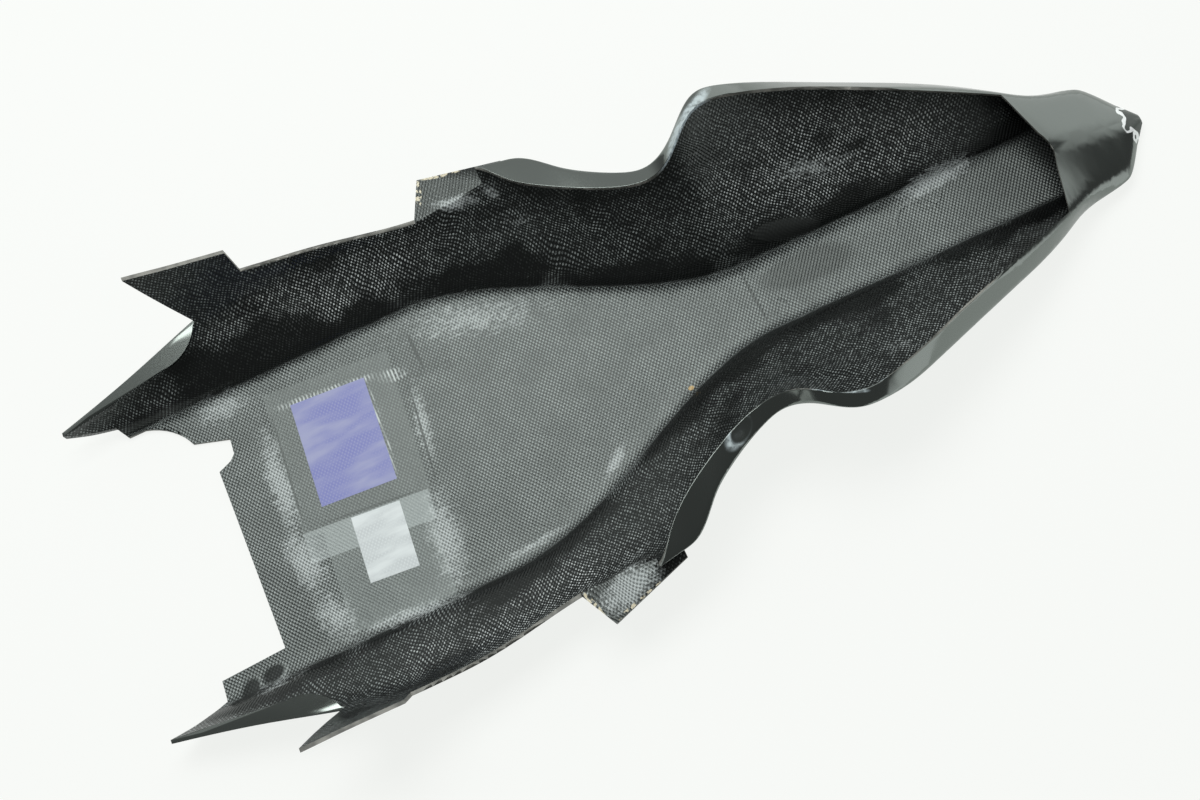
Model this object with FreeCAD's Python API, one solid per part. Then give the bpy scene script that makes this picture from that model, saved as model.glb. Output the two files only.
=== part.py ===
import FreeCAD, Part
import math
import os

# One-piece laminate cover that closes the underside of a motorcycle seat tail.
# Millimetres. X runs from the two front prongs to the beak at the tail, Y to the left side and
# Z up, out of the open side. The part lies on its flat belly at Z = 0; X = 0 is half way along it.
# A "back" is a distance from the prong tips towards the tail, a "half width" one from the middle.

# The whole part
LENGTH = 760.0
WALL = 2.4
# rubbed off the belly, which leaves it flat
BELLY_RUB = 0.3

# The belly, broad under the seat and narrowing to a channel under the tail
BELLY_HALF_WIDTH = 102.0
CHANNEL_HALF_WIDTH = 26.0
NARROWING_FROM = 245.0
NARROWING_TO = 475.0
BEAK_BELLY_FROM = 685.0
BEAK_BELLY_HALF_WIDTH = 10.0

# The short riser between the belly and the sloping shelf of a side wall
RISER_RISE = 9.5
RISER_RUN = 6.5
RISER_FADE_FROM = 560.0
BEAK_RISER_RISE = 2.0

# Reach of the rounding from a corner of the section
SOFT_CORNER = 7.0
FOLD_CORNER = 3.0
LARGEST_SHARE = 0.2

# Guides of a side wall: back, half width, height
# the knee, where the shelf turns up into the steep upper wall
KNEE = [
    (0, 109, 14), (60, 121, 18), (116, 142, 27), (160, 151, 28), (230, 147, 27), (281, 136, 26),
    (334, 132, 32), (363, 118, 32), (386, 98, 32), (433, 72, 32), (458, 70, 36), (486, 78, 40),
    (516, 78, 37), (561, 68, 32), (655, 47, 19), (693, 38, 11), (731, 31, 5.5), (748, 14, 4.5),
]
# the fold, where the wall ends in front and turns in to a lip behind
FOLD = [
    (0, 150, 97), (92, 171, 97), (160, 171.5, 97), (202, 166, 66), (230, 157, 50), (257, 150, 43),
    (281, 144.5, 39.5), (334, 152, 58), (363, 149.5, 57), (386, 126, 61), (409, 111, 60),
    (433, 99, 60), (444, 97, 69), (458, 102, 79), (474, 116, 88), (486, 124, 88), (516, 121, 74),
    (561, 105, 60), (617, 84, 45), (655, 69, 31), (673, 59, 24), (693, 47, 15), (731, 39, 10.5),
    (748, 18.5, 7.5),
]
# the cut edge of the lip
LIP = [
    (334, 149.5, 58), (341, 142, 57), (356, 127, 61), (380, 110, 63), (404, 97, 63), (429, 87, 64),
    (444, 86, 70), (456, 91, 82), (469, 102, 92), (484, 111, 90), (500, 112, 84), (526, 106, 79),
    (550, 98, 75), (562, 92.5, 73), (603, 77.5, 61), (639, 64, 50), (667, 53, 40), (679, 48, 35),
    (700, 40, 25), (731, 30, 16), (748, 13.5, 11),
]
LIP_TURN = 10.0
LIP_STUB = 2.5
EDGE_STUB = 1.0

# The mouth in front of the deck: back, half width, and the height its cut reaches down to
MOUTH_FRONT = (600.0, 76.4, 55.0)
MOUTH_CORNER = (676.5, 47.5, 24.5)
# its rear edges run straight to here and meet in a round
MOUTH_ROUND = (686.5, 12.0)
MOUTH_MIDDLE_BACK = 689.5

# The beak: a deck with a soft ridge along its middle closes the tail, and a solid nose ends it
RIDGE = [(620, 0, 53), (679, 0, 34), (692, 0, 31), (731, 0, 20), (748, 0, 14)]
RIDGE_HALF_WIDTH = 7.0
# the deck grows out of the two lips inside the mouth, where its start is cut away
DECK_START = 18.0
DECK_GROWTH = 50.0
DECK_GROWS_FROM = MOUTH_FRONT[0] + DECK_START
DECK_CLOSED = DECK_GROWS_FROM + DECK_GROWTH
# each half of the deck reaches this far over the middle, where it is cut off
DECK_OVERLAP = 3.0
# the nose starts where the guides end
NOSE_FROM = KNEE[-1][0]
NOSE_LENGTH = 12.0
NOSE_TIP = NOSE_FROM + NOSE_LENGTH
NOSE_SHRINK = 0.2
NOSE_HEIGHT = 5.0

# Upper outline of the front, seen from the side: back, height
PRONG_TIP = (0.0, 26.6)
NOTCH_BOTTOM = (116.0, 38.4)
UPPER_PRONG_TIP = (92.0, 93.7)
STEP_TOP = (158.0, 75.7)
STEP_FOOT = (160.0, 54.0)
RIM_MIDDLE = (215.0, 43.0)

# Front outline of the belly, seen from above: back, half width
RIGHT_FRONT = [(0, 112.5), (37, 100), (38, 85.5), (85, 83)]
LEFT_NICK = [(86, 50), (96, 54), (100, 58), (101, 69), (76, 77)]
LEFT_SCOOP_MIDDLE = (62.0, 94.5)
LEFT_FRONT = [(48, 101), (36, 101), (32, 108), (0, 112.5)]

# Turned-in lip on top of a prong, seen from above: back, half width
PRONG_LIP_START = (2.0, 112.5)
PRONG_LIP_CORNER = (81.0, 123.0)
PRONG_LIP_ROUND = (101.0, 128.0)
PRONG_LIP_END = 114.0

# Ear on each side: three corners of its upper face: back, half width, height
EAR_ROOT = (281.0, 143.6, 38.4)
EAR_CORNER = (294.0, 169.4, 40.9)
EAR_END = (352.0, 151.5, 50.4)
LIP_FROM = 334.0

# Sections of the shell, closer together where the wall changes fast
STATIONS = [
    0, 30, 60, 92, 116, 140, 160, 180, 202, 230, 257, 281, 310, 328, 338, 350, 363, 375, 386, 400,
    416, 432, 444, 455, 465, 476, 488, 504, 526, 550, 575, 600, 622, 645, 668, 681, 693, 707, 720, 729,
    734, 741, NOSE_FROM,
]
# A cutter this large reaches past everything
BEYOND = LENGTH


def place(back, half_width, height):
    """The point in the part's own frame, with the backs stretched to the part's length."""
    return FreeCAD.Vector((back / NOSE_TIP - 0.5) * LENGTH, half_width, height - BELLY_RUB)


def between(start, end, share):
    return start + (end - start) * share


def smooth_step(share):
    share = min(max(share, 0.0), 1.0)
    return share * share * (3 - 2 * share)


def slopes(guide, column):
    """A slope at each point of a guide, level where the guide turns back."""
    rises = []
    for this, after in zip(guide, guide[1:]):
        rises.append((after[column] - this[column]) / (after[0] - this[0]))
    middle = []
    for left, right in zip(rises, rises[1:]):
        middle.append(0.0 if left * right <= 0 else 2 * left * right / (left + right))
    return [rises[0]] + middle + [rises[-1]]


def along(guide, column, back):
    """Where the smooth line through a guide's points is at this back."""
    back = min(max(back, guide[0][0]), guide[-1][0])
    tangents = slopes(guide, column)
    i = max(k for k in range(len(guide) - 1) if guide[k][0] <= back)
    span = guide[i + 1][0] - guide[i][0]
    t = (back - guide[i][0]) / span
    start = (1 + 2 * t) * guide[i][column] + t * span * tangents[i]
    end = (3 - 2 * t) * guide[i + 1][column] - (1 - t) * span * tangents[i + 1]
    return (1 - t) ** 2 * start + t ** 2 * end


def point_along(guide, back):
    return along(guide, 1, back), along(guide, 2, back)


def belly_half_width(back):
    narrowing = smooth_step((back - NARROWING_FROM) / (NARROWING_TO - NARROWING_FROM))
    beak = smooth_step((back - BEAK_BELLY_FROM) / (NOSE_FROM - BEAK_BELLY_FROM))
    width = between(BELLY_HALF_WIDTH, CHANNEL_HALF_WIDTH, narrowing)
    return width + (BEAK_BELLY_HALF_WIDTH - CHANNEL_HALF_WIDTH) * beak


def outer_corners(back):
    """Corners of the outer face of one half, from the middle of the belly to the free edge."""
    belly = belly_half_width(back)
    fade = smooth_step((back - RISER_FADE_FROM) / (NOSE_FROM - RISER_FADE_FROM))
    rise = between(RISER_RISE, BEAK_RISER_RISE, fade)
    shelf = (belly + RISER_RUN * rise / RISER_RISE, rise)
    knee = point_along(KNEE, back)
    fold = point_along(FOLD, back)
    lean = math.atan2(fold[1] - knee[1], fold[0] - knee[0])
    stub = (fold[0] + LIP_STUB * math.cos(lean), fold[1] + LIP_STUB * math.sin(lean))
    lip = point_along(LIP, back)
    turned = smooth_step((back - LIP_FROM) / LIP_TURN)
    edge = (between(stub[0], lip[0], turned), between(stub[1], lip[1], turned))
    way = math.atan2(edge[1] - fold[1], edge[0] - fold[0])
    end = (edge[0] + EDGE_STUB * math.cos(way), edge[1] + EDGE_STUB * math.sin(way))
    closed = smooth_step((back - DECK_GROWS_FROM) / DECK_GROWTH)
    ridge = along(RIDGE, 2, back)
    halfway = ((edge[0] + end[0]) / 2, (edge[1] + end[1]) / 2)
    brow = (between(halfway[0], RIDGE_HALF_WIDTH, closed), between(halfway[1], ridge, closed))
    deck = (between(end[0], -DECK_OVERLAP, closed), between(end[1], ridge, closed))
    return [(0.0, 0.0), (belly, 0.0), shelf, knee, fold, edge, brow, deck]


def inner_corners(corners, closed):
    """The same corners one wall thickness further in."""
    lines = []
    for start, end in zip(corners, corners[1:]):
        reach = math.dist(start, end)
        way = ((end[0] - start[0]) / reach, (end[1] - start[1]) / reach)
        lines.append(((start[0] - way[1] * WALL, start[1] + way[0] * WALL), way))
    inner = [lines[0][0]]
    for (p, u), (q, v) in zip(lines, lines[1:]):
        turn = u[0] * v[1] - u[1] * v[0]
        reach = 0.0
        if abs(turn) > 1e-6:
            reach = ((p[0] - q[0]) * u[1] - (p[1] - q[1]) * u[0]) / -turn
        inner.append((q[0] + v[0] * reach, q[1] + v[1] * reach))
    start, way = lines[-1]
    reach = math.dist(corners[-2], corners[-1])
    if closed:
        reach = (corners[-1][0] - start[0]) / way[0]
    inner.append((start[0] + way[0] * reach, start[1] + way[1] * reach))
    return inner


def rounded_poles(back, corners):
    """Control points of a curve that follows the corners with soft turns."""
    fold = 4
    poles = [place(back, *corners[0])]
    for i, (start, end) in enumerate(zip(corners, corners[1:])):
        reach = math.dist(start, end)
        near = min((FOLD_CORNER if i >= fold else SOFT_CORNER) / reach, LARGEST_SHARE)
        far = 1 - min((FOLD_CORNER if i + 1 >= fold else SOFT_CORNER) / reach, LARGEST_SHARE)
        for share in (near, (near + far) / 2, far):
            y = between(start[0], end[0], share)
            z = between(start[1], end[1], share)
            poles.append(place(back, y, z))
    poles.append(place(back, *corners[-1]))
    return poles


def clamped_knots(count):
    spans = count - 3
    return [4] + [1] * (spans - 1) + [4], [float(k) for k in range(spans + 1)]


def smooth_surface(rows):
    """A cubic surface over rows of control points, one row for each section."""
    u_mults, u_knots = clamped_knots(len(rows))
    v_mults, v_knots = clamped_knots(len(rows[0]))
    surface = Part.BSplineSurface()
    surface.buildFromPolesMultsKnots(rows, u_mults, v_mults, u_knots, v_knots, False, False, 3, 3)
    return surface


def face_between(first, second):
    """The flat face between two curves that lie in one plane."""
    starts = Part.makeLine(first.value(first.FirstParameter), second.value(second.FirstParameter))
    ends = Part.makeLine(first.value(first.LastParameter), second.value(second.LastParameter))
    edges = Part.sortEdges([first.toShape(), second.toShape(), starts, ends])[0]
    return Part.Face(Part.Wire(edges))


def lines_through(points):
    return [Part.makeLine(a, b) for a, b in zip(points, points[1:])]


def half_shell():
    """One half of the shell: belly, riser, shelf, upper wall, lip and deck in one bent sheet."""
    outer_rows = []
    inner_rows = []
    for back in STATIONS:
        outside = outer_corners(back)
        outer_rows.append(rounded_poles(back, outside))
        inner_rows.append(rounded_poles(back, inner_corners(outside, back >= DECK_CLOSED)))
    outer = smooth_surface(outer_rows)
    inner = smooth_surface(inner_rows)
    front, rear, middle, edge = outer.bounds()
    faces = [outer.toShape(), inner.toShape()]
    faces.append(Part.makeRuledSurface(outer.vIso(edge).toShape(), inner.vIso(edge).toShape(), 1))
    faces.append(face_between(outer.vIso(middle), inner.vIso(middle)))
    faces.append(face_between(outer.uIso(front), inner.uIso(front)))
    faces.append(face_between(outer.uIso(rear), inner.uIso(rear)))
    sewn = Part.makeCompound(faces)
    sewn.sewShape(1e-4)
    return Part.makeSolid(sewn.Shells[0])


def half_nose():
    """One half of the solid nose that ends the beak."""
    sections = []
    for back, share in ((NOSE_FROM, 1.0), (NOSE_TIP, NOSE_SHRINK)):
        corners = []
        for half_width, height in outer_corners(NOSE_FROM):
            corners.append((half_width * share, between(NOSE_HEIGHT, height, share)))
        curve = Part.BSplineCurve()
        curve.buildFromPoles(rounded_poles(back, corners), False, 3)
        middle = Part.makeLine(place(back, *corners[-1]), place(back, *corners[0]))
        sections.append(Part.Wire([curve.toShape(), middle]))
    return Part.makeLoft(sections, True, True)


def prong_height(back):
    return between(PRONG_TIP[1], NOTCH_BOTTOM[1], back / NOTCH_BOTTOM[0])


def wall_middle(back, height):
    """Half width of the middle of the upper wall's thickness at a height."""
    knee = point_along(KNEE, back)
    fold = point_along(FOLD, back)
    share = (height - knee[1]) / (fold[1] - knee[1])
    return between(knee[0], fold[0], share) - WALL / 2


def above_upper_outline():
    """Everything on one side above the upper outline of the front."""
    outline = [(-BEYOND, prong_height(-BEYOND)), NOTCH_BOTTOM, UPPER_PRONG_TIP, STEP_TOP, STEP_FOOT]
    points = [place(back, 0, height) for back, height in outline]
    rim_end = place(EAR_ROOT[0], 0, EAR_ROOT[2])
    top = place(EAR_ROOT[0], 0, BEYOND)
    front_top = place(-BEYOND, 0, BEYOND)
    edges = lines_through(points)
    edges.append(Part.Arc(points[-1], place(RIM_MIDDLE[0], 0, RIM_MIDDLE[1]), rim_end).toShape())
    edges += lines_through([rim_end, top, front_top, points[0]])
    return Part.Face(Part.Wire(edges)).extrude(FreeCAD.Vector(0, BEYOND, 0))


def prong_lip():
    """The lip that turns in from the top of a prong."""
    def on_lip(back, half_width):
        return place(back, half_width, prong_height(back))

    steps = 4
    outside = []
    for k in range(steps + 1):
        back = between(PRONG_LIP_END, PRONG_LIP_START[0], k / steps)
        outside.append(on_lip(back, wall_middle(back, prong_height(back))))
    along_wall = Part.BSplineCurve()
    along_wall.interpolate(outside)
    start = on_lip(*PRONG_LIP_START)
    corner = on_lip(*PRONG_LIP_CORNER)
    edges = [Part.makeLine(start, corner)]
    edges.append(Part.Arc(corner, on_lip(*PRONG_LIP_ROUND), outside[0]).toShape())
    edges.append(along_wall.toShape())
    edges.append(Part.makeLine(outside[-1], start))
    return Part.Face(Part.Wire(edges)).extrude(FreeCAD.Vector(0, 0, -WALL))


def ear_up():
    root, corner, end = [place(*p) for p in (EAR_ROOT, EAR_CORNER, EAR_END)]
    up = (corner - root).cross(end - root)
    if up.z < 0:
        up = up * -1
    return up / up.Length


def on_ear(back, half_width):
    """The point of the ear's upper face above this place."""
    root = place(*EAR_ROOT)
    up = ear_up()
    point = place(back, half_width, 0)
    point.z = root.z - (up.x * (point.x - root.x) + up.y * (point.y - root.y)) / up.z
    return point


def ear():
    """The flat ear, let into the wall to half its thickness."""
    steps = 4
    inside = []
    for k in range(steps + 1):
        back = between(EAR_END[0], EAR_ROOT[0], k / steps)
        height = on_ear(back, EAR_ROOT[1]).z + BELLY_RUB
        inside.append(on_ear(back, wall_middle(back, height)))
    outline = [place(*EAR_ROOT), place(*EAR_CORNER), place(*EAR_END)] + inside
    outline.append(outline[0])
    return Part.Face(Part.makePolygon(outline)).extrude(ear_up() * -WALL)


def above_ear():
    """Everything above the ear's face as far back as the start of the lip."""
    near = EAR_ROOT[1] - EAR_CORNER[1] + EAR_ROOT[1]
    corners = [(EAR_ROOT[0], near), (EAR_ROOT[0], BEYOND), (LIP_FROM, BEYOND), (LIP_FROM, near)]
    outline = [on_ear(*corner) for corner in corners]
    outline.append(outline[0])
    return Part.Face(Part.makePolygon(outline)).extrude(FreeCAD.Vector(0, 0, BEYOND))


def past_middle():
    """Everything on the other side of the middle."""
    corner = FreeCAD.Vector(-BEYOND, -BEYOND, -BEYOND)
    return Part.makeBox(2 * BEYOND, BEYOND, 2 * BEYOND, corner)


def half_cover():
    half = half_shell().fuse(half_nose())
    half = half.cut(past_middle())
    half = half.cut(above_upper_outline())
    half = half.cut(above_ear())
    half = half.fuse(prong_lip())
    return half.fuse(ear())


def front_bay():
    """The open bay in front of the belly, with the nick and the scoop of its left corner."""
    def flat(points, side):
        return [place(back, side * half_width, -BEYOND) for back, half_width in points]

    right = flat([(-BEYOND, RIGHT_FRONT[0][1])] + RIGHT_FRONT, -1)
    nick = flat(LEFT_NICK, 1)
    left = flat(LEFT_FRONT + [(-BEYOND, LEFT_FRONT[-1][1])], 1)
    scoop = flat([LEFT_SCOOP_MIDDLE], 1)[0]
    edges = lines_through(right + nick)
    edges.append(Part.Arc(nick[-1], scoop, left[0]).toShape())
    edges += lines_through(left + right[:1])
    return Part.Face(Part.Wire(edges)).extrude(FreeCAD.Vector(0, 0, 2 * BEYOND))


def mouth():
    """The opening in front of the deck, cut down to a sloping floor."""
    fall = (MOUTH_CORNER[2] - MOUTH_FRONT[2]) / (MOUTH_CORNER[0] - MOUTH_FRONT[0])

    def on_floor(back, half_width):
        return place(back, half_width, MOUTH_FRONT[2] + fall * (back - MOUTH_FRONT[0]))

    side = [MOUTH_FRONT[:2], MOUTH_CORNER[:2], MOUTH_ROUND]
    left = [on_floor(back, half_width) for back, half_width in side]
    right = [on_floor(back, -half_width) for back, half_width in side]
    edges = lines_through(left)
    edges.append(Part.Arc(left[-1], on_floor(MOUTH_MIDDLE_BACK, 0), right[-1]).toShape())
    edges += lines_through(right[::-1] + left[:1])
    return Part.Face(Part.Wire(edges)).extrude(FreeCAD.Vector(0, 0, BEYOND))


def cover():
    left = half_cover()
    right = left.mirror(FreeCAD.Vector(), FreeCAD.Vector(0, 1, 0))
    shape = left.fuse(right)
    shape = shape.cut(front_bay())
    shape = shape.cut(mouth())
    under_belly = Part.makeBox(
        2 * BEYOND, 2 * BEYOND, BEYOND, FreeCAD.Vector(-BEYOND, -BEYOND, -BEYOND)
    )
    return shape.cut(under_belly)


os.makedirs("parts", exist_ok=True)
cover().exportStep("parts/cover_shell.step")
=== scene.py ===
import math

import bmesh
import bpy
from mathutils import Matrix, Vector


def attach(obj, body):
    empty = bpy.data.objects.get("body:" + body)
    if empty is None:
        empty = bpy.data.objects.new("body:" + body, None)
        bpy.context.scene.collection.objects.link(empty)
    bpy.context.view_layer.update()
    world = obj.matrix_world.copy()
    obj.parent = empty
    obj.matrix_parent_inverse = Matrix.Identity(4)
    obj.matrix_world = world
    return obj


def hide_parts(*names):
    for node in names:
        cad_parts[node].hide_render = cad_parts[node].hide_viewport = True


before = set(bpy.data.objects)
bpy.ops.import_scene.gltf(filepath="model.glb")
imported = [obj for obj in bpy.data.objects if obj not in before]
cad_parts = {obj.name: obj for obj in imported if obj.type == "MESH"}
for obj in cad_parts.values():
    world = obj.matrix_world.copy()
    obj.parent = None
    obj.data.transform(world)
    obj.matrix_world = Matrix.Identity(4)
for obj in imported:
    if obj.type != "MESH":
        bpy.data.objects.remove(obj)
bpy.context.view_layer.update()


# THE SHELL
# The whole cover is one moulding: glass cloth laid by hand into a mould over a black gelcoat and
# soaked with black resin, so it is glossy outside and shows its weave inside. The outline is
# sawn and ground by hand, which leaves a pale edge.
def only(piece):
    """Selects this piece alone."""
    bpy.ops.object.select_all(action="DESELECT")
    bpy.context.view_layer.objects.active = piece
    piece.select_set(True)


shell = bpy.data.objects.new("shell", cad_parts["cover_shell"].data.copy())
bpy.context.collection.objects.link(shell)
shell.data.materials.clear()
only(shell)
bpy.ops.object.mode_set(mode="EDIT")
bpy.ops.mesh.select_all(action="SELECT")
bpy.ops.mesh.remove_doubles(threshold=1e-5)
bpy.ops.object.mode_set(mode="OBJECT")
SMOOTH_BELOW = math.radians(30)
bpy.ops.object.shade_smooth_by_angle(angle=SMOOTH_BELOW)
bpy.ops.object.modifier_add(type="WEIGHTED_NORMAL")
shell.modifiers[-1].mode = "FACE_AREA_WITH_ANGLE"
shell.modifiers[-1].keep_sharp = True
bpy.ops.object.modifier_apply(modifier=shell.modifiers[-1].name)


# How the cloth lies: along the part one way, and the other way out from the middle of the belly
# and up the walls, so that its threads keep their real pitch everywhere.
def belly_half_width(x):
    """Half the width of the flat belly, which narrows into the channel of the tail. Metres."""
    narrowing_from, narrowing_length = -0.135, 0.230
    widest, lost = 0.102, 0.076
    share = min(max((x - narrowing_from) / narrowing_length, 0), 1)
    return widest - lost * share * share * (3 - 2 * share)


while shell.data.uv_layers:
    shell.data.uv_layers.remove(shell.data.uv_layers[0])
cloth = shell.data.uv_layers.new(name="cloth")
for loop in shell.data.loops:
    x, y, z = shell.data.vertices[loop.vertex_index].co
    flat = min(abs(y), belly_half_width(x))
    across = flat + math.hypot(abs(y) - flat, z if abs(y) > flat else 0)
    cloth.data[loop.index].uv = (x, math.copysign(across, y))


def colour(code):
    """A colour as the eye reads it, #rrggbb, turned into the light values that shaders take."""
    parts = [int(code[k:k + 2], 16) / 255 for k in (1, 3, 5)]
    light = [p / 12.92 if p <= 0.04045 else ((p + 0.055) / 1.055) ** 2.4 for p in parts]
    return (*light, 1)


def add(tree, kind, inputs=None, **settings):
    """Adds a node, with constants and other nodes' outputs for its inputs, and returns its output."""
    node = tree.nodes.new("ShaderNode" + kind)
    for name, value in settings.items():
        setattr(node, name, value)
    for key, value in (inputs or {}).items():
        if isinstance(value, bpy.types.NodeSocket):
            tree.links.new(value, node.inputs[key])
        else:
            node.inputs[key].default_value = value
    return node.outputs[0]


def new_material(name):
    """An empty material and its node tree."""
    material = bpy.data.materials.new(name)
    material.use_nodes = True
    material.node_tree.nodes.clear()
    return material, material.node_tree


def finish_material(tree, inputs):
    """Ends the material with one surface of these inputs."""
    surface = add(tree, "BsdfPrincipled", inputs)
    output = tree.nodes.new("ShaderNodeOutputMaterial")
    tree.links.new(surface, output.inputs["Surface"])


def math_node(tree, what, a, b=0.0):
    return add(tree, "Math", {0: a, 1: b}, operation=what)


def times(tree, *values):
    product = values[0]
    for value in values[1:]:
        product = math_node(tree, "MULTIPLY", product, value)
    return product


def largest(tree, values):
    most = values[0]
    for value in values[1:]:
        most = math_node(tree, "MAXIMUM", most, value)
    return most


def fade(tree, value, low, high, to_low=0.0, to_high=1.0):
    """The value's way from low to high, as a soft step."""
    ends = {"Value": value, "From Min": low, "From Max": high, "To Min": to_low, "To Max": to_high}
    return add(tree, "MapRange", ends, interpolation_type="SMOOTHSTEP")


def placed(tree, points, middle, reach, turn):
    """The points seen from a place, turned and measured in its reach. Millimetres and degrees."""
    return add(tree, "Mapping", {
        "Vector": points,
        "Location": [v / 1000 for v in middle],
        "Rotation": (0, 0, math.radians(turn)),
        "Scale": [v / 1000 for v in reach],
    }, vector_type="TEXTURE")


def spot(tree, points, middle, reach, turn=0.0):
    """A soft spot: one in the middle, nothing past its reach."""
    near = placed(tree, points, middle, reach, turn)
    return add(tree, "TexGradient", {"Vector": near}, gradient_type="SPHERICAL")


def block(tree, points, middle, half, turn=0.0):
    """A rectangle seen from above: one inside, nothing outside."""
    near = placed(tree, points, (*middle, 0), (*half, 1000), turn)
    x = add(tree, "SeparateXYZ", {0: add(tree, "VectorMath", {0: near}, operation="ABSOLUTE")})
    return fade(tree, largest(tree, [x, x.node.outputs["Y"]]), 0.96, 1.0, 1.0, 0.0)


def noise(tree, points, size, detail=3.0, stretch=(1, 1, 1)):
    """Cloudy unevenness of this size in millimetres, longer where the stretch is larger."""
    scaled = add(tree, "VectorMath", {0: points, 1: stretch}, operation="DIVIDE")
    return add(tree, "TexNoise", {"Vector": scaled, "Scale": 1000 / size, "Detail": detail})


def mixed(tree, share, first, second):
    """The first colour, with this share of the second."""
    return add(tree, "MixRGB", {0: share, 1: first, 2: second})


# a reach so tall that the height of a place plays no part, in millimetres
TALL = 10000
# the pitch of the cloth's threads in metres
WARP_PITCH, WEFT_PITCH = 0.00132, 0.00172

# Glass cloth in black resin: a plain weave of 1.3 by 1.7 mm whose crowns show grey through the
# satin resin. It gives the eye the dotted belly and the walls, darkened by painted shade and
# sparkling with painted glints.
laminate, tree = new_material("glass_cloth_in_black_resin")
points = add(tree, "TexCoord").node.outputs["Object"]
height = add(tree, "SeparateXYZ", {0: points}).node.outputs["Z"]
on_wall = fade(tree, height, 0.004, 0.014)
along = add(tree, "SeparateXYZ", {0: add(tree, "UVMap", uv_map="cloth")})
across = along.node.outputs["Y"]
wander = times(tree, noise(tree, points, 30, 1.0), fade(tree, on_wall, 0, 1, 0.002, 0.010))
warp = times(tree, math_node(tree, "ADD", along, wander), math.pi / WARP_PITCH)
weft = times(tree, math_node(tree, "ADD", across, wander), math.pi / WEFT_PITCH)
weave = times(tree, math_node(tree, "SINE", warp), math_node(tree, "SINE", weft))

# painted shade along the foot of the walls, and resin gathered in places on the walls, both hiding
# the weave
shade_at_wall_foot = times(tree, fade(tree, height, 0.0028, 0.006), fade(tree, height, 0.010, 0.022, 1, 0))
ragged = noise(tree, points, 34, 4.0, (1.6, 1, 1))
resin_and_foot_shade = math_node(tree, "ADD", ragged, times(tree, shade_at_wall_foot, 0.2))
resin_and_foot_shade = times(tree, fade(tree, resin_and_foot_shade, 0.48, 0.72), largest(tree, [on_wall, shade_at_wall_foot]))

# two pieces of smoother cloth and a strip of clear film lie under the labels
under_blue = block(tree, points, (-206, 30), (47, 55), -5)
under_silver = block(tree, points, (-209, -60), (38, 38), -5)
film = block(tree, points, (-212, -31), (46, 11), -5)
ears = [spot(tree, points, (-68, side * 156, 44), (60, 26, 30)) for side in (1, -1)]
smoother = largest(tree, [under_blue, under_silver, fade(tree, largest(tree, ears), 0.1, 0.5)])
shown = times(tree, weave, fade(tree, smoother, 0, 1, 1.0, 0.5))

# on the walls fewer crowns show, which is painted shade, and a random few of them stay bright as
# painted glints; on the belly nearly all of them show
crown = fade(tree, shown, fade(tree, on_wall, 0, 1, -0.25, 0.05), 0.75)
cloudy = noise(tree, points, 26, 4.0)
faintest = fade(tree, on_wall, 0, 1, 0.8, 0.15)
speckle_and_painted_glints = fade(tree, noise(tree, points, 2.6, 1.0), 0.38, 0.62, faintest, 1.0)
crown = times(tree, crown, speckle_and_painted_glints, fade(tree, cloudy, 0.35, 0.65, 0.7, 1.0))
# crowns dimmed under resin, in the painted shade at the foot of the walls and in the shade of the
# deck
dimmed_by_resin_and_shade = fade(tree, resin_and_foot_shade, 0, 1, 1.0, 0.06)
in_shade_of_deck = fade(tree, along, 0.22, 0.30, 1.0, 0.3)
crown = times(tree, crown, dimmed_by_resin_and_shade, in_shade_of_deck)
# painted highlights: lighter crowns in three places on the walls, at the rear left, the front left
# and the front right
painted_wall_highlights = largest(tree, [
    spot(tree, points, (185, 68, 34), (130, 60, 46)),
    spot(tree, points, (-180, 130, 28), (120, 40, 40)),
    spot(tree, points, (-140, -132, 26), (110, 34, 30)),
])
on_walls = mixed(tree, fade(tree, painted_wall_highlights, 0.0, 0.6), colour("#8f9795"), colour("#c6cecc"))
base = mixed(tree, on_wall, colour("#8d9593"), on_walls)
base = mixed(tree, crown, colour("#0b0c0c"), base)
base = mixed(tree, times(tree, under_blue, 0.3), base, colour("#4a504e"))
base = mixed(tree, times(tree, under_silver, 0.3), base, colour("#6d7573"))
base = mixed(tree, times(tree, film, 0.5), base, colour("#a0a9a8"))

# dry places where the threads stand out white, with painted glints in the tail channel and on the
# bend of the left ear and painted sheen on the right wall: place, reach, turn and strength
dry_places_and_glints = [
    ((-258, 24, 0), (14, 66, TALL), -3, 1.0),
    ((-262, -34, 0), (20, 40, TALL), 8, 1.0),
    ((-256, -78, 0), (22, 34, TALL), 20, 0.9),
    ((-168, -62, 0), (20, 58, TALL), -8, 1.0),
    ((-152, 20, 0), (9, 50, TALL), -10, 0.9),
    ((-92, 74, 0), (98, 26, TALL), -17, 0.75),
    ((-276, 92, 0), (40, 18, TALL), -4, 0.8),
    ((-208, -99, 0), (60, 9, TALL), -6, 0.9),
    ((-43, -62, 0), (22, 7, TALL), 40, 1.0),
    ((-116, -91, 0), (48, 6, TALL), 6, 0.8),
    # painted glint along the left edge of the tail channel
    ((238, 24, 4), (46, 12, 14), 4, 1.15),
    # painted glint on the bend of the left ear
    ((-69, 141, 42), (28, 8, 12), -16, 1.0),
    ((-43, 136, 44), (9, 14, 14), 20, 0.8),
    ((-38, 112, 37), (22, 14, 20), 0, 0.6),
    ((-72, -153, 44), (40, 18, 16), 10, 1.2),
    # painted sheen on the right wall
    ((-56, -138, 32), (36, 14, 16), 10, 0.6),
    ((-306, -100, 9), (34, 14, 12), 4, 0.8),
    ((104, 112, 66), (16, 9, 22), 30, 1.0),
    ((90, 93, 52), (16, 9, 18), 30, 0.7),
    ((150, -80, 48), (34, 14, 20), -24, 0.5),
    ((-160, 132, 40), (60, 20, 16), -4, 0.45),
    ((160, 60, 29), (60, 18, 16), -12, 0.6),
]
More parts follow.
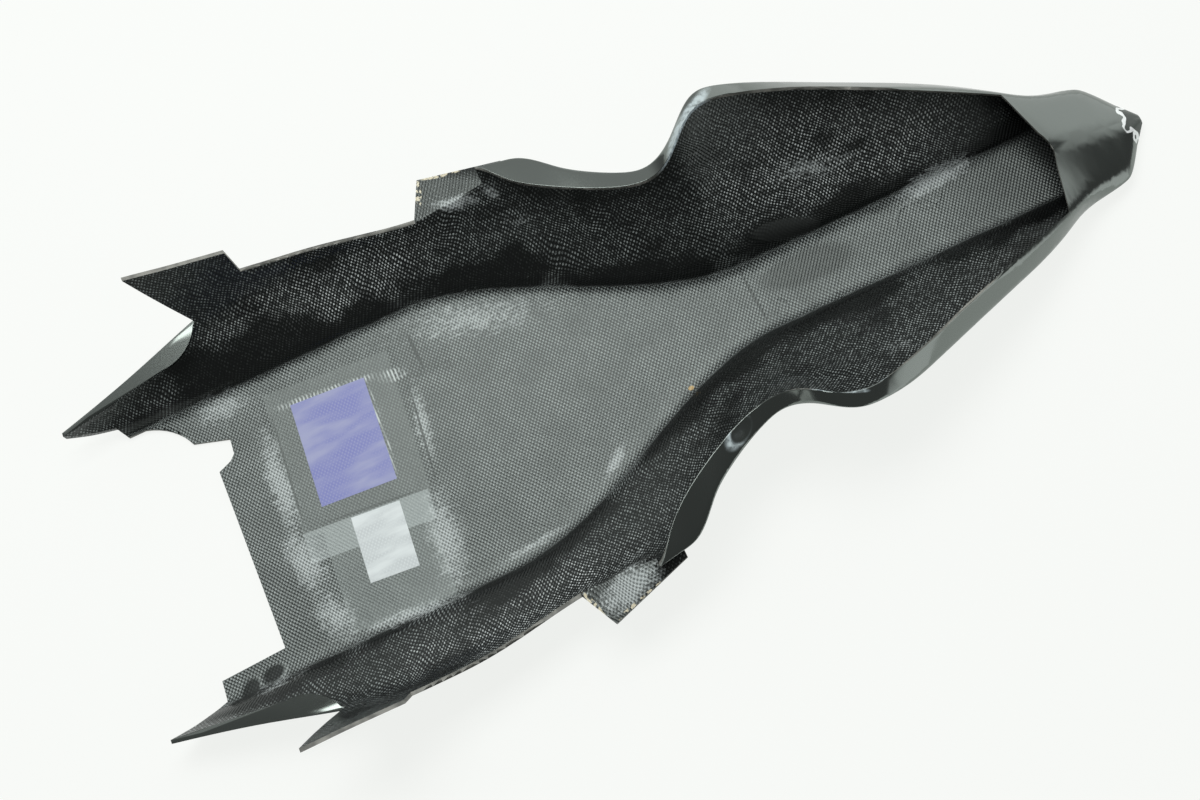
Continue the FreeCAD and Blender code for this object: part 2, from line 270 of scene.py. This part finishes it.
dry_and_glints = largest(tree, [
    times(tree, spot(tree, points, middle, reach, turn), strength)
    for middle, reach, turn, strength in dry_places_and_glints
])
dashes = largest(tree, [
    noise(tree, points, 1.4, 1.0, (6, 1, 2)),
    times(tree, noise(tree, points, 1.4, 1.0, (1, 5, 2)), 0.92),
])
dry_and_glints = math_node(tree, "ADD", times(tree, dry_and_glints, 0.5), times(tree, dashes, 0.7))
dry_and_glints = fade(tree, dry_and_glints, 0.52, 0.8)
dry_and_glints = times(tree, dry_and_glints, fade(tree, weave, -0.7, 0.4, 0.25, 1.0))
base = mixed(tree, times(tree, dry_and_glints, 0.85), base, colour("#b4bcbb"))

# the frayed edge of a strip of cloth along the left of the belly and beside the blue label
thread_ends = math_node(tree, "SINE", times(tree, along, math.pi / WARP_PITCH))
thread_ends = fade(tree, thread_ends, -0.2, 0.7)
broken = fade(tree, noise(tree, points, 9), 0.4, 0.6, 0.2, 0.8)
white_ends = largest(tree, [
    fade(tree, spot(tree, points, (-200, 69.5, 0), (56, 5, TALL), -7), 0.05, 0.5),
    fade(tree, spot(tree, points, (-158, 61, 0), (14, 6, TALL), -10), 0.05, 0.4),
    fade(tree, spot(tree, points, (-179, 30, 0), (2.4, 44, TALL), -4), 0.1, 0.5),
])
base = mixed(tree, times(tree, white_ends, thread_ends, broken), base, colour("#c6cecc"))
dark_ends = fade(tree, spot(tree, points, (-126, 52, 0), (30, 5, TALL), -10), 0.05, 0.4)
base = mixed(tree, times(tree, dark_ends, thread_ends, broken), base, colour("#0b0c0c"))

# dark marks: smudges, the joints of the pieces of cloth, drops of resin on the right prong
dark_places = [
    ((90, 2, 0), (1.4, 30, TALL), 2),
    ((132, 6, 2), (44, 18, 30), -4),
    ((-137, 72, 0), (1.6, 18, TALL), 2),
    ((-155, 12, 0), (1.2, 46, TALL), -7),
    ((-205, -19, 0), (44, 1.2, TALL), -6),
    ((-250, 30, 0), (1.2, 54, TALL), -5),
]
drops = largest(tree, [
    spot(tree, points, (-308, -96, 3), (11, 7, 9), 15),
    spot(tree, points, (-326, -101, 3), (8, 13, 10), -35),
    spot(tree, points, (128, 34, 10), (36, 9, 16), -14),
])
dark = largest(tree, [drops] + [spot(tree, points, *place) for place in dark_places])
dark = fade(tree, math_node(tree, "ADD", dark, times(tree, ragged, 0.5)), 0.35, 0.7)
base = mixed(tree, times(tree, dark, 0.85), base, colour("#0b0c0c"))

# cream chips along the edges of the ears, and one speck on the belly
chipped = largest(tree, [
    spot(tree, points, (-62, -162, 44.5), (36, 2, 8), 13),
    spot(tree, points, (-94, -152, 39.5), (2, 14, 6), 18),
    spot(tree, points, (-89, 160, 40), (3, 12, 6), -18),
    spot(tree, points, (-68, 164, 43), (20, 2.5, 6), -16),
])
patchy = fade(tree, noise(tree, points, 3, 3.0), 0.47, 0.55)
chipped = times(tree, fade(tree, chipped, 0.05, 0.3), patchy)
base = mixed(tree, chipped, base, colour("#cfc8ae"))
speck = fade(tree, spot(tree, points, (24, -38.5, 2), (3, 2.4, 4)), 0.15, 0.4)
base = mixed(tree, speck, base, colour("#b0945f"))


# wrinkles of the cloth in the tail: thin raised arcs
def arc(tree, points, middle, radius, side):
    """A thin ring of this radius, of which only one side shows."""
    ring = spot(tree, points, (*middle, 0), (2 * radius, 2 * radius, TALL))
    ring = times(tree, fade(tree, ring, 0.44, 0.5), fade(tree, ring, 0.5, 0.56, 1, 0))
    half = placed(tree, points, (*middle, 0), (radius, radius, TALL), side)
    return times(tree, ring, fade(tree, add(tree, "SeparateXYZ", {0: half}), 0.0, 0.5))


creases = largest(tree, [
    arc(tree, points, (101, -13), 7, 0),
    arc(tree, points, (214, 0), 16, 80),
    arc(tree, points, (226, 20), 13, -100),
])
relief = math_node(tree, "ADD", times(tree, shown, 0.09), times(tree, creases, 0.15))
relief = math_node(tree, "ADD", relief, times(tree, cloudy, 0.3))
relief = math_node(tree, "ADD", relief, times(tree, fade(tree, drops, 0.0, 0.9), 1.2))
bump = add(tree, "Bump", {"Strength": 1.0, "Distance": 0.001, "Height": relief})
smooth_in_resin = fade(tree, resin_and_foot_shade, 0, 1, 0.3, 0.16)
dull_in_drops = fade(tree, drops, 0.1, 0.4, 0, 0.7)
finish_material(tree, {
    "Base Color": base,
    "Roughness": largest(tree, [smooth_in_resin, dull_in_drops]),
    "IOR": 1.5,
    "Specular Tint": colour("#f3fff9"),
    "Normal": bump,
})

# Gelcoat: smooth black and glossy, faintly wavy from the mould. It gives the eye the grey
# reflections of the room on the beak and the lips, with worn and chipped places and painted
# highlights on the right lip.
gelcoat, tree = new_material("black_gelcoat")
points = add(tree, "TexCoord").node.outputs["Object"]

# the chip at the nose: a scalloped white rim around a dull break
near_chip = spot(tree, points, (373, -1, 8), (13, 18, 14))
chip = math_node(tree, "ADD", near_chip, times(tree, noise(tree, points, 6, 0.0), 0.8))
only_there = fade(tree, near_chip, 0, 0.1)
rim = times(tree, fade(tree, chip, 0.55, 0.58), fade(tree, chip, 0.74, 0.78, 1, 0), only_there)
inside = times(tree, fade(tree, chip, 0.74, 0.78), only_there)

# the left lip worn pale along its inner edge; a painted highlight along the inner edge of the right
# lip, and a painted highlight ring round a dimple in it
wear_and_highlights = largest(tree, [
    spot(tree, points, (92, 103, 85), (34, 6, 18), 34),
    spot(tree, points, (106, -108, 89), (20, 2.6, 6), -23),
])
dimple_highlight = spot(tree, points, (34, -96, 63), (15, 8, 12), 36)
dimple = spot(tree, points, (36.5, -95, 63), (12, 7, 12), 36)
wear_and_highlights = largest(tree, [wear_and_highlights, times(tree, dimple_highlight, fade(tree, dimple, 0.05, 0.35, 1.0, 0.12))])
patchy = fade(tree, noise(tree, points, 5, 3.0), 0.3, 0.6, 0.3, 1.0)
wear_and_highlights = times(tree, fade(tree, wear_and_highlights, 0.05, 0.4), patchy)
base = mixed(tree, wear_and_highlights, colour("#0d0f0e"), colour("#a9b6ba"))
base = mixed(tree, rim, base, colour("#e8ecec"))
relief = math_node(tree, "SUBTRACT", times(tree, noise(tree, points, 40, 0.0), 0.2), dimple)
bump = add(tree, "Bump", {"Strength": 1.0, "Distance": 0.001, "Height": relief})
dull = largest(tree, [times(tree, wear_and_highlights, 0.45), inside])
finish_material(tree, {
    "Base Color": base,
    "Roughness": fade(tree, dull, 0, 1, 0.14, 1.0),
    "IOR": 1.8,
    "Specular IOR Level": 1.0,
    "Specular Tint": colour("#f0fff6"),
    "Coat Weight": 0.5,
    "Coat Roughness": 0.12,
    "Normal": bump,
})

# Sawn edge: the pale cut through glass and resin, dirty in places, blue-white where it is worn, with
# a painted highlight on the edge of the right lip.
sawn, tree = new_material("sawn_laminate_edge")
points = add(tree, "TexCoord").node.outputs["Object"]
dirty = fade(tree, noise(tree, points, 10, 4.0), 0.35, 0.65)
base = mixed(tree, dirty, colour("#85867f"), colour("#5b5d58"))
# blue-white wear on the left lip and the right prong; on the right lip the blue-white is a painted
# highlight
wear_and_highlights = largest(tree, [
    spot(tree, points, (84, 102, 78), (34, 26, 40)),
    spot(tree, points, (106, -108, 88), (30, 20, 20)),
    spot(tree, points, (-300, -118, 32), (14, 18, 14)),
])
base = mixed(tree, fade(tree, wear_and_highlights, 0.0, 0.3), base, colour("#b4c3c8"))
finish_material(tree, {"Base Color": base, "Roughness": 0.6, "IOR": 1.5})


# The faces fall into smooth regions with sharp borders. The two large ones are the sides of the
# sheet, the narrow ones its sawn edges, and the rest the lips of the prongs and the ears.
for material in (gelcoat, laminate, sawn):
    shell.data.materials.append(material)
GELCOAT, LAMINATE, SAWN = range(3)
SHARP = math.radians(35)
NARROW = 0.003
BEAK_FROM = 0.315
SMALL_REGION = 0.01
sheet = bmesh.new()
sheet.from_mesh(shell.data)
done = set()
for first in sheet.faces:
    if first in done:
        continue
    done.add(first)
    region = [first]
    area, border, towards_hollow = 0, 0, 0
    for face in region:
        area += face.calc_area()
        x, y, z = middle = face.calc_center_median()
        hollow = Vector((x, 0, 0.015 if x < 0.29 else 0.008))
        on_ear = -0.1 < x < -0.03 and abs(y) > 0.143
        towards = Vector((0, 0, 1)) if on_ear else hollow - middle
        towards_hollow += face.calc_area() if face.normal.dot(towards) > 0 else -face.calc_area()
        for edge in face.edges:
            if edge.calc_face_angle() > SHARP:
                border += edge.calc_length()
                continue
            for other in edge.link_faces:
                if other not in done:
                    done.add(other)
                    region.append(other)
    finish = LAMINATE if towards_hollow > 0 else GELCOAT
    if 2 * area / border < NARROW:
        finish = GELCOAT if x > BEAK_FROM else SAWN
    for face in region:
        on_rim = -0.23 < face.calc_center_median().x < -0.099
        cut_rim = area < SMALL_REGION and finish == LAMINATE and on_rim
        face.material_index = SAWN if cut_rim else finish
sheet.to_mesh(shell.data)
sheet.free()

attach(shell, "root")
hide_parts("cover_shell")


# THE BLUE LABEL
# A printed paper label stuck to the belly near its front edge and soaked with resin like the
# cloth, so the weave shows through it; it is streaked lighter along its length. It is left bare.
def flat_label(name, size, middle, turn):
    """A thin plate lying on the belly, sizes in metres."""
    bpy.ops.mesh.primitive_cube_add(size=1, location=(0, 0, 0))
    piece = bpy.context.object
    piece.name = name
    bpy.ops.object.mode_set(mode="EDIT")
    bpy.ops.mesh.select_all(action="SELECT")
    bpy.ops.transform.resize(value=size, center_override=(0, 0, 0))
    bpy.ops.transform.rotate(value=-math.radians(turn), orient_axis="Z", center_override=(0, 0, 0))
    bpy.ops.transform.translate(value=middle)
    bpy.ops.object.mode_set(mode="OBJECT")
    return piece


def clouded_paper(name, print_colour, cloud_colour, cloud_size):
    """Paper under a thin skin of resin, dotted by the weave beneath it and streaked lighter along its
    length.
    """
    paper, tree = new_material(name)
    points = add(tree, "TexCoord").node.outputs["Object"]
    x = add(tree, "SeparateXYZ", {0: points})
    warp = math_node(tree, "SINE", times(tree, x, math.pi / WARP_PITCH))
    weft = math_node(tree, "SINE", times(tree, x.node.outputs["Y"], math.pi / WEFT_PITCH))
    dots = fade(tree, times(tree, warp, weft), -0.3, 0.8, 0.0, 0.6)
    clouds = fade(tree, noise(tree, points, cloud_size, 4.0, (4, 1, 1)), 0.38, 0.66)
    base = mixed(tree, largest(tree, [dots, clouds]), colour(print_colour), colour(cloud_colour))
    finish_material(tree, {"Base Color": base, "Roughness": 0.4, "IOR": 1.45})
    return paper


blue_label = flat_label("blue_label", (0.0547, 0.0772, 0.00016), (-0.2073, 0.0322, 0.00212), -4.3)
blue_label.data.materials.append(clouded_paper("blue_printed_paper", "#676fb0", "#8f95ba", 14))
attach(blue_label, "root")

# THE SILVER LABEL
# A smaller silver-grey paper label stuck beside the blue one. It is left bare.
silver_label = flat_label("silver_label", (0.035, 0.0475, 0.00016), (-0.2066, -0.0453, 0.00212), -5)
silver_label.data.materials.append(clouded_paper("silver_grey_paper", "#bac3c3", "#d4dddc", 9))
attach(silver_label, "root")


# THE TABLE, THE LIGHT AND THE CAMERA
# A white table in a dim room, with one large soft lamp above and behind the part, a window behind
# its tail, and a lit wall on either side.
bpy.ops.mesh.primitive_plane_add(size=40, location=(0, 0, -0.0002))
table = bpy.context.object
table.name = "table"
white, tree = new_material("white_table")
board = add(tree, "BsdfDiffuse", {"Color": colour("#eaeceb")})
plain = add(tree, "Emission", {"Color": colour("#fbfdfa"), "Strength": 1.0})
rays = add(tree, "LightPath").node
seen = largest(tree, [rays.outputs["Is Camera Ray"], rays.outputs["Is Glossy Ray"]])
PLAIN_SHARE = 0.86
both = add(tree, "MixShader", {0: times(tree, seen, PLAIN_SHARE), 1: board, 2: plain})
output = tree.nodes.new("ShaderNodeOutputMaterial")
tree.links.new(both, output.inputs["Surface"])
table.data.materials.append(white)


def soft_lamp(name, place, size, radiance, target=(0, 0, 0)):
    """A rectangular lamp that looks at the target and is this bright all over."""
    lamp = bpy.data.lights.new(name, "AREA")
    lamp.shape = "RECTANGLE"
    lamp.size, lamp.size_y = size
    lamp.energy = radiance * 4 * size[0] * size[1]
    holder = bpy.data.objects.new(name, lamp)
    bpy.context.collection.objects.link(holder)
    holder.location = place
    holder.rotation_euler = (Vector(target) - Vector(place)).to_track_quat("-Z", "Y").to_euler()


soft_lamp("back_lamp", (-0.05, 0.60, 1.55), (1.5, 0.8), 4.7)


def glow(tree, way, azimuth, elevation, inner, outer, strength):
    """A bright part of the room, full within the inner angle of its middle, none past the outer."""
    azimuth, elevation = math.radians(azimuth), math.radians(elevation)
    level = math.cos(elevation)
    middle = (level * math.cos(azimuth), level * math.sin(azimuth), math.sin(elevation))
    dot = add(tree, "VectorMath", {0: way, 1: middle}, operation="DOT_PRODUCT")
    edge, full = math.cos(math.radians(outer)), math.cos(math.radians(inner))
    return fade(tree, dot.node.outputs["Value"], edge, full, 0.0, strength)


world = bpy.data.worlds.new("room")
bpy.context.scene.world = world
world.use_nodes = True
tree = world.node_tree
tree.nodes.clear()
way = add(tree, "TexCoord").node.outputs["Generated"]
window = glow(tree, way, 40, 16, 16, 38, 1.15)
back_wall = glow(tree, way, 95, 30, 25, 55, 0.55)
side_wall = glow(tree, way, 321, 10, 12, 30, 1.25)
DIM = 0.14
strength = math_node(tree, "ADD", largest(tree, [window, back_wall, side_wall]), DIM)
room = add(tree, "Background", {"Color": (1, 1, 1, 1), "Strength": strength})
seen = add(tree, "Background", {"Color": colour("#fbfcfa"), "Strength": 1.0})
camera_ray = add(tree, "LightPath").node.outputs["Is Camera Ray"]
both = add(tree, "MixShader", {0: camera_ray, 1: room, 2: seen})
output = tree.nodes.new("ShaderNodeOutputWorld")
tree.links.new(both, output.inputs["Surface"])

camera = bpy.data.cameras.new("camera")
camera.lens = 50
camera.sensor_width = 36
viewer = bpy.data.objects.new("camera", camera)
bpy.context.collection.objects.link(viewer)
forward = Vector((0.0101, 0.3003, -0.9538)).normalized()
right = forward.cross(Vector((0.4215, 0.8637, 0.2764))).normalized()
up = right.cross(forward)
viewer.matrix_world = Matrix.Translation((-0.0467, -0.3584, 1.0812)) @ Matrix(
    (right, up, -forward)
).transposed().to_4x4()
bpy.context.scene.camera = viewer
bpy.context.scene.view_settings.view_transform = "Standard"
